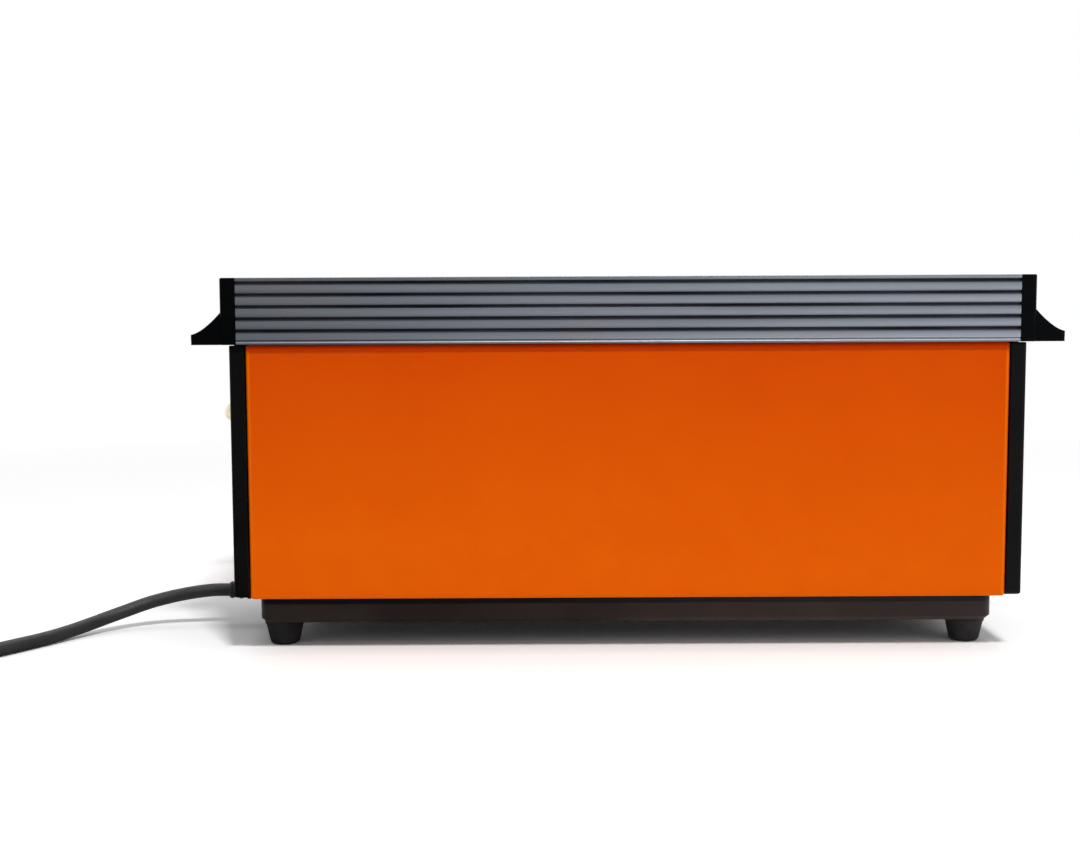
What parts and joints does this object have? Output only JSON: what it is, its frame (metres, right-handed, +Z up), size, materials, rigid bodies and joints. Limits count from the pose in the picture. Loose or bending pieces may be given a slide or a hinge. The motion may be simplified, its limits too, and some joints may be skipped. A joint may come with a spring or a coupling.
{
  "type": "drop side toaster",
  "caption": "Drop side toaster with sprung bottom-hinged doors, reeded rails with finger tabs, a central heater and a mains lead.",
  "frame": {"origin": "on the table, under the middle of the toaster without its cord", "axes": "+X along the length to the right, +Y from the front door to the rear door, +Z up"},
  "size_m": [0.5993, 0.1975, 0.175],
  "materials": {
    "orange_enamel": "smooth orange stove enamel, semi-gloss",
    "reeded_aluminium": "satin anodised extrusion with dark grooves",
    "black_moulding": "moulded black, semi-gloss",
    "tray_enamel": "dark semi-gloss paint",
    "foot_rubber": "matt black rubber",
    "bright_steel": "bright tinned steel, browned by heat",
    "spring_steel": "drawn spring wire",
    "screw_zinc": "zinc plated",
    "mica": "pressed mica sheet",
    "heating_ribbon": "oxidised resistance ribbon",
    "brass": "plain brass",
    "porcelain": "glazed porcelain",
    "wire_sleeve": "braided glass sleeve",
    "cord_rubber": "black rubber sheath",
    "tie_plastic": "soft black strap",
    "plug_moulding": "moulded black",
    "lamp_plastic": "moulded, dark",
    "amber_lens": "translucent pale amber"
  },
  "bodies": {
    "root": {"base_tray": "tray_enamel", "foot_front_left": "foot_rubber", "foot_front_right": "foot_rubber", "foot_rear_left": "foot_rubber", "foot_rear_right": "foot_rubber", "foot_screws": "screw_zinc", "floor_plate": "bright_steel", "end_plate_left": "bright_steel", "end_plate_right": "bright_steel", "end_panel_left": "black_moulding", "end_panel_right": "black_moulding", "panel_screws": "screw_zinc", "top_plate": "tray_enamel", "top_screws": "screw_zinc", "heater_channel_bottom": "bright_steel", "heater_channel_top": "bright_steel", "heater_card_left": "mica", "heater_card_middle": "mica", "heater_card_right": "mica", "heater_winding_left": "heating_ribbon", "heater_winding_middle": "heating_ribbon", "heater_winding_right": "heating_ribbon", "heater_links": "brass", "guard_front": "bright_steel", "guard_rear": "bright_steel", "hinge_rod_front": "bright_steel", "hinge_rod_rear": "bright_steel", "door_spring_front_left": "spring_steel", "door_spring_front_right": "spring_steel", "door_spring_rear_left": "spring_steel", "door_spring_rear_right": "spring_steel", "terminal_block": "porcelain", "cord_clamp": "bright_steel", "supply_wires": "wire_sleeve", "cord_inner": "cord_rubber", "strain_relief": "cord_rubber", "lamp_body": "lamp_plastic", "lamp_lens": "amber_lens", "cord_lead": "cord_rubber", "cord_coil": "cord_rubber", "cord_tail": "cord_rubber", "cord_tie": "tie_plastic", "plug_body": "plug_moulding", "plug_pins": "brass"},
    "door_front": {"door_skin_front": "orange_enamel", "door_liner_front": "bright_steel", "bread_ledge_front": "bright_steel", "door_rail_front": "reeded_aluminium", "handle_front_left": "black_moulding", "handle_front_right": "black_moulding", "door_screws_front": "screw_zinc"},
    "door_rear": {"door_skin_rear": "orange_enamel", "door_liner_rear": "bright_steel", "bread_ledge_rear": "bright_steel", "door_rail_rear": "reeded_aluminium", "handle_rear_left": "black_moulding", "handle_rear_right": "black_moulding", "door_screws_rear": "screw_zinc"}
  },
  "joints": [
    {"name": "door_front_swing", "type": "hinge", "parent": "root", "child": "door_front", "pos_m": [0, -0.058, 0.031], "axis": [1, 0, 0], "range_deg": [0, 80], "stiffness_Nm_per_rad": 0.3, "springref_deg": -40.11, "deforming": ["door_spring_front_left", "door_spring_front_right"]},
    {"name": "door_rear_swing", "type": "hinge", "parent": "root", "child": "door_rear", "pos_m": [0, 0.058, 0.031], "axis": [-1, 0, 0], "range_deg": [0, 80], "stiffness_Nm_per_rad": 0.3, "springref_deg": -40.11, "deforming": ["door_spring_rear_left", "door_spring_rear_right"]}
  ]
}
